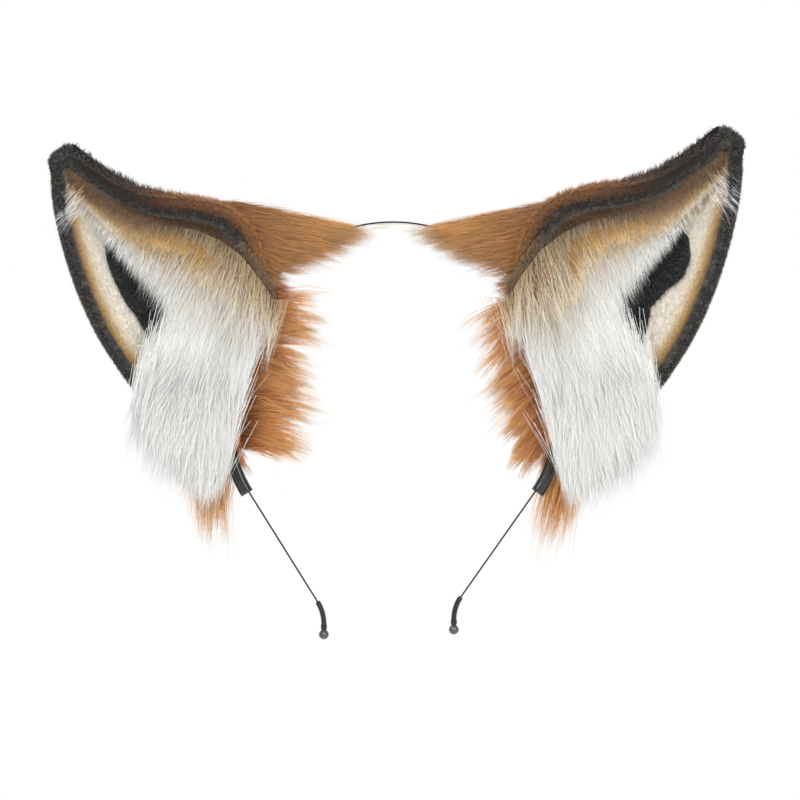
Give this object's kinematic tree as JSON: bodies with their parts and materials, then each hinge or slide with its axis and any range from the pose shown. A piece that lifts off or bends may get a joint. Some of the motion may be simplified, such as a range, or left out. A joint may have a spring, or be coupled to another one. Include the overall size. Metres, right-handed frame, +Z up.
{
  "type": "animal ears headband",
  "caption": "Thin sprung wire-style headband with furry fox ears bound to its shoulders and ball tips.",
  "frame": {"origin": "middle of the crown pad's underside, where the band lies on the wearer's head", "axes": "+X to the right as seen from the front, along the span between the ears; +Y to the back; +Z up"},
  "size_m": [0.2732, 0.0489, 0.1996],
  "materials": {
    "band_steel": "satin",
    "clear_pad": "satin",
    "soft_iron": "satin",
    "shrink_tube": "satin",
    "tip_rubber": "satin",
    "smoke_ball": "gloss",
    "felt": "matte",
    "foam": "matte",
    "brown_fur": "matte",
    "rim_fur": "matte",
    "cream_fur": "matte",
    "black_fur": "matte",
    "white_fur": "matte",
    "tan_fur": "matte",
    "orange_fur": "matte"
  },
  "bodies": {
    "crown": {"crown_band": "band_steel", "crown_pad": "clear_pad"},
    "left_shoulder": {"left_shoulder_band": "band_steel", "left_base_wire": "soft_iron", "left_upper_sleeve": "shrink_tube", "left_lower_sleeve": "shrink_tube", "left_base_binding": "felt", "left_base_fringe": "orange_fur", "left_crown_tuft": "tan_fur"},
    "left_leg": {"left_leg_band": "band_steel", "left_tip_cover": "tip_rubber", "left_tip_ball": "smoke_ball"},
    "left_ear": {"left_ear_foam_core": "foam", "left_ear_frame_wire": "soft_iron", "left_ear_back_fur": "brown_fur", "left_ear_front_lining": "cream_fur", "left_ear_rim_trim": "rim_fur", "left_ear_inner_patch": "black_fur", "left_ear_white_tuft": "white_fur"},
    "right_shoulder": {"right_shoulder_band": "band_steel", "right_base_wire": "soft_iron", "right_upper_sleeve": "shrink_tube", "right_lower_sleeve": "shrink_tube", "right_base_binding": "felt", "right_base_fringe": "orange_fur", "right_crown_tuft": "tan_fur"},
    "right_leg": {"right_leg_band": "band_steel", "right_tip_cover": "tip_rubber", "right_tip_ball": "smoke_ball"},
    "right_ear": {"right_ear_foam_core": "foam", "right_ear_frame_wire": "soft_iron", "right_ear_back_fur": "brown_fur", "right_ear_front_lining": "cream_fur", "right_ear_rim_trim": "rim_fur", "right_ear_inner_patch": "black_fur", "right_ear_white_tuft": "white_fur"}
  },
  "joints": [
    {"name": "left_crown_flex", "type": "hinge", "parent": "crown", "child": "left_shoulder", "pos_m": [-0.01928, 0, -0.00038], "axis": [0, 1, 0], "range_deg": [-3, 18], "stiffness_Nm_per_rad": 0.45},
    {"name": "left_leg_flex", "type": "hinge", "parent": "left_shoulder", "child": "left_leg", "pos_m": [-0.05557, 0, -0.10154], "axis": [0, 1, 0], "range_deg": [-5, 25], "stiffness_Nm_per_rad": 0.12},
    {"name": "left_ear_tilt", "type": "hinge", "parent": "left_shoulder", "child": "left_ear", "pos_m": [-0.0551, 0, -0.05017], "axis": [0.2324, 0, 0.9726], "range_deg": [-20, 20]},
    {"name": "right_crown_flex", "type": "hinge", "parent": "crown", "child": "right_shoulder", "pos_m": [0.01928, 0, -0.00038], "axis": [0, -1, 0], "range_deg": [-3, 18], "stiffness_Nm_per_rad": 0.45},
    {"name": "right_leg_flex", "type": "hinge", "parent": "right_shoulder", "child": "right_leg", "pos_m": [0.05493, 0, -0.10128], "axis": [0, -1, 0], "range_deg": [-5, 25], "stiffness_Nm_per_rad": 0.12},
    {"name": "right_ear_tilt", "type": "hinge", "parent": "right_shoulder", "child": "right_ear", "pos_m": [0.0551, 0, -0.05017], "axis": [-0.2324, 0, 0.9726], "range_deg": [-20, 20]}
  ]
}
